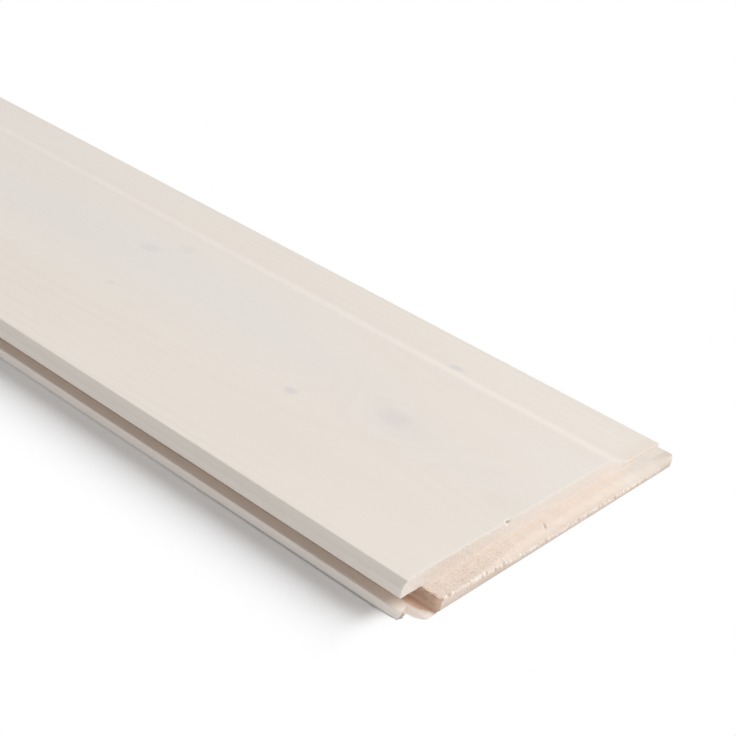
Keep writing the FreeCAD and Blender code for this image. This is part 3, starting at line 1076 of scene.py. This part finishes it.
def sprayed_colour(wood, colour):
    """Spray on the side tongue's edge and over the end's corner, and painted shade towards the front at
    that corner.
    """
    near_tip = rise(wood["y"], TIP_MM - 1.4, TIP_MM - 0.2)
    spray = cloud(wood["place"], (0.15, 0.8, 0.8), 3.0)
    over_end = rise(wood["x"], SHOULDER_MM, SHOULDER_MM + 0.5) * rise(wood["y"], *SPRAYED_END) * 0.7
    sprayed = wood["y"].math("MAXIMUM", near_tip * rise(spray, 0.2, 0.6) * 0.85, over_end)
    colour = blend(sprayed, colour, SPRAY)
    corner_edge_shade = rise(wood["x"], END_MM - 3.8, END_MM - 2.4) * rise(wood["y"], *CORNER_SHADE_PART)
    return blend(corner_edge_shade * 0.35, colour, EDGE_PAINTED_SHADE)


print("torn lip at", LIP_TEAR, "mm")

# %% Material for the bare long grain
bare_long, wire = new_finish("bare_long_grain")
wood = spruce(wire)
long_colour = torn_colour(wood, bare_colour(wood, wood["fibres"]))
long_colour = sprayed_colour(wood, groove_colour(wood, long_colour))
long_lines = cloud(wood["place"], (0.06, 2.4, 2.4), 4.0, 0.65)
long_relief = long_lines - wood["summer"] * 0.3
long_bump = wire.node("ShaderNodeBump", None,
                      {"Strength": 0.35, "Distance": 0.2 * MM, "Height": long_relief})
finish_surface(wire, {"Base Color": long_colour, "Roughness": 0.62 + (long_lines - 0.5) * 0.2,
                      "IOR": 1.4, "Normal": long_bump})
print("bare_long_grain", len(wire.tree.nodes), "nodes")

# %% [markdown]
# ## End grain
# On the ends the fibres are cut across, so the wood looks like a stack of tiny tubes: matt, a little
# darker, and stippled instead of streaked. Paint that ran over the nose whitens the end of the
# upper lip, which the photograph shows as a pale corner. The shoulder is paler, and past the step,
# where it is low, that is painted light against the shade along it. The lower part of the tongue's
# front is painted darker, as shade. The lower lip's stub is pale where it tore off, and brighter
# still as painted light.

# %% Material for the ends
NOSE_PAINT = srgb(232, 223, 213)
# The next colour makes the shoulder paler; past the step, where the shoulder is low, this is painted
# light against the shade along it.
PALE_SHOULDER_AND_LIGHT = srgb(238, 228, 220)
# The next colour is painted shade on the lower part of the tongue's front.
LOWER_FRONT_SHADE = srgb(203, 184, 168)
NOSE_END = (-57.0, -46.0)
ABOVE_GROOVE = (6.8, 7.6)
STUB_END = (-54.5, -53.0)
STUB_TOP = (2.8, 3.4)


def end_by_place(wood, colour):
    """Paint on the upper lip, a paler shoulder, painted shade on the lower front, and the torn stub, pale
    and brightened as painted light.
    """
    on_upper_lip = fall(wood["y"], *NOSE_END) * rise(wood["z"], *ABOVE_GROOVE)
    colour = blend(on_upper_lip * 0.8, colour, NOSE_PAINT)
    on_shoulder = rise(wood["z"], END_TOP_MM - 0.1, END_TOP_MM + 0.6)
    near_end_only = rise(wood["x"], 0.0, 10.0)
    pale_and_light = rise(wood["y"], -45.0, -10.0) * 0.25 + rise(wood["y"], 26.0, 42.0) * 0.25 + 0.45
    colour = blend(on_shoulder * pale_and_light * (0.3 + near_end_only * 0.7), colour, PALE_SHOULDER_AND_LIGHT)
    on_front = rise(wood["x"], SHOULDER_MM + 3.0, SHOULDER_MM + 4.0)
    colour = blend(fall(wood["z"], 3.6, 6.2) * on_front * 0.75, colour, LOWER_FRONT_SHADE)
    lip_stub = fall(wood["y"], *STUB_END) * fall(wood["z"], *STUB_TOP)
    return blend(lip_stub * near_end_only * 0.85, colour, LIP_TORN_AND_LIT)


end_finish, wire = new_finish("bare_end_grain")
wood = spruce(wire)
stipple = cloud(wood["place"], (1.2, 3.0, 3.0), 3.0, 0.7)
end_colour = end_by_place(wood, torn_colour(wood, bare_colour(wood, stipple)))
end_bump = wire.node("ShaderNodeBump", None,
                     {"Strength": 0.5, "Distance": 0.3 * MM, "Height": stipple})
finish_surface(wire, {"Base Color": end_colour, "Roughness": 0.72 + (stipple - 0.5) * 0.2,
                      "IOR": 1.4, "Normal": end_bump})
for finish in (white_paint, bare_long, end_finish):
    board_mesh.materials.append(finish)
print("finishes on the board", [finish.name for finish in board_mesh.materials])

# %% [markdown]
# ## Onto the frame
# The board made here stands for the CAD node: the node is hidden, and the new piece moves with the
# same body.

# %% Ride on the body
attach(planed_board, "root")
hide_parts("board")
print("pieces on the root body: planed_board")

# %% [markdown]
# ## Floor and light
# The photograph is a studio picture on white: light from the right and behind, a soft shadow on the
# groove side only, and the near end a little brighter than the far one. A sun lamp lights a two-metre
# board evenly, a wide sun disc gives the soft shadow, and the world fills the shade. One soft lamp
# beside the near end adds the last of the light there, and a weak low one on the groove side lifts
# the lower lip out of the dark. The floor is burnt out to white everywhere else, so away from that
# shadow it shows the camera a plain white instead of its own shade.

# %% Floor
FLOOR_HALF = 8.0
FLOOR_WHITE = (0.96, 0.96, 0.965, 1.0)
LEAST_GLOW = 0.04
CLEAR_NEAR = (end - 14 * MM, end - 7 * MM)
CLEAR_FAR = (far_end - 30 * MM, far_end - 7 * MM)
CLEAR_TONGUE = (tip - 6 * MM, tip)
CLEAR_NOSE = (nose - 25 * MM, nose - 8 * MM)

floor_mesh = bpy.data.meshes.new("floor")
floor_mesh.from_pydata([(-FLOOR_HALF, -FLOOR_HALF, 0), (FLOOR_HALF, -FLOOR_HALF, 0),
                        (FLOOR_HALF, FLOOR_HALF, 0), (-FLOOR_HALF, FLOOR_HALF, 0)], [], [(0, 1, 2, 3)])
floor = bpy.data.objects.new("floor", floor_mesh)
floor.location.z = back
bpy.context.collection.objects.link(floor)


def seen_directly(wire):
    """1 for rays that show a surface to the camera, also in a reflection or through glass."""
    seen = wire.node("ShaderNodeLightPath", out="Is Camera Ray")
    for ray in ("Is Glossy Ray", "Is Transmission Ray"):
        seen = wire.math("MAXIMUM", seen, wire.node("ShaderNodeLightPath", out=ray))
    return seen


floor_finish, wire = new_finish("white_floor")
floor_place = wire.node("ShaderNodeTexCoord", out="Object")
floor_x, floor_y = (wire.node("ShaderNodeSeparateXYZ", None, {0: floor_place}, axis) for axis in "XY")
clear = rise(floor_x, *CLEAR_NEAR)
beyond_far_end = fall(floor_x, *CLEAR_FAR)
beyond_tongue = rise(floor_y, *CLEAR_TONGUE)
beyond_nose = fall(floor_y, *CLEAR_NOSE)
for side in (beyond_far_end, beyond_tongue, beyond_nose):
    clear = wire.math("MAXIMUM", clear, side)
lit = wire.node("ShaderNodeBsdfDiffuse", None, {"Color": FLOOR_WHITE})
glow = wire.node("ShaderNodeEmission", None, {"Color": (1, 1, 1, 1), "Strength": 1.0})
plain = seen_directly(wire) * (LEAST_GLOW + clear * (1 - LEAST_GLOW))
bare = wire.node("ShaderNodeMixShader", None, {0: plain, 1: lit, 2: glow})
wire.node("ShaderNodeOutputMaterial", None, {"Surface": bare})
floor_mesh.materials.append(floor_finish)
print("floor", 2 * FLOOR_HALF, "m")

# %% Sun and lamps
SUN_AZIMUTH = math.radians(50)
SUN_HEIGHT = math.radians(43)
SUN_DISC = math.radians(50)
SUN_LEVEL = 0.37
LAMP_FROM_END = Vector((0.24, 0.20, 0.44))
LAMP_SIZE = 0.45
LAMP_WATTS = 0.9
FILL_FROM_END = Vector((-0.12, -0.75, 0.15))
FILL_WATTS = 0.4


def add_light(name, kind, place, aim):
    """A light at a place, turned to shine at the aim."""
    data = bpy.data.lights.new(name, kind)
    light = bpy.data.objects.new(name, data)
    light.location = place
    light.rotation_euler = (place - aim).to_track_quat("Z", "Y").to_euler()
    bpy.context.collection.objects.link(light)
    return data


towards = Vector((math.cos(SUN_AZIMUTH) * math.cos(SUN_HEIGHT),
                  math.sin(SUN_AZIMUTH) * math.cos(SUN_HEIGHT), math.sin(SUN_HEIGHT)))
sun = add_light("window_light", "SUN", towards * 2, Vector((0, 0, 0)))
sun.angle = SUN_DISC
sun.energy = math.pi * SUN_LEVEL / math.sin(SUN_HEIGHT)
near_end = Vector((end, 0, face))
lamp = add_light("near_lamp", "AREA", near_end + LAMP_FROM_END, near_end)
lamp.size = LAMP_SIZE
lamp.energy = LAMP_WATTS
fill_lamp = add_light("fill_lamp", "AREA", near_end + FILL_FROM_END, near_end)
fill_lamp.size = LAMP_SIZE
fill_lamp.energy = FILL_WATTS
print("sun level", SUN_LEVEL, "lamp", round(LAMP_FROM_END.length, 2), "m away")

# %% Sky
SKY_LEVEL = 0.42
world = bpy.data.worlds.new("white_room")
world.use_nodes = True
world.node_tree.nodes.clear()
bpy.context.scene.world = world
wire = Wire(world.node_tree)
fill = wire.node("ShaderNodeBackground", None, {"Color": (1, 1, 1, 1), "Strength": SKY_LEVEL})
white = wire.node("ShaderNodeBackground", None, {"Color": (1, 1, 1, 1), "Strength": 1.0})
sky = wire.node("ShaderNodeMixShader", None, {0: seen_directly(wire), 1: fill, 2: white})
wire.node("ShaderNodeOutputWorld", None, {"Surface": sky})
bpy.context.scene.view_settings.view_transform = "Standard"
print("sky level", SKY_LEVEL)

# %% [markdown]
# ## Camera
# The picture is taken close to the tongued end, turned so that the board runs from the lower right
# to the upper left. The lens and the place come from fitting the board's own straight edges, so the
# edges in the render lie where the photograph has them.

# %% Camera
AIM = Vector((end - 76.31 * MM, 11.44 * MM, face))
TURN = math.radians(34.463)
TILT = math.radians(27.408)
ROLL = math.radians(11.728)
AWAY = 423.0 * MM
LENS = 73.487

camera_data = bpy.data.cameras.new("camera")
camera_data.lens = LENS
camera_data.sensor_width = 36.0
camera_data.sensor_fit = "HORIZONTAL"
camera_data.clip_start = 0.01
camera = bpy.data.objects.new("camera", camera_data)
looking = Vector((-math.sin(TURN) * math.cos(TILT), math.cos(TURN) * math.cos(TILT), -math.sin(TILT)))
camera.location = AIM - looking * AWAY
camera.rotation_mode = "QUATERNION"
camera.rotation_quaternion = looking.to_track_quat("-Z", "Y") @ Quaternion((0, 0, 1), ROLL)
bpy.context.collection.objects.link(camera)
bpy.context.scene.camera = camera
print("camera at", [round(value / MM, 1) for value in camera.location], "mm")

# %% [markdown]
# ## Size
# The finished piece has to keep to the CAD model's box. The finished piece is built inside the CAD
# model's box: the section starts from it, and the moves of the milled end are held within it.
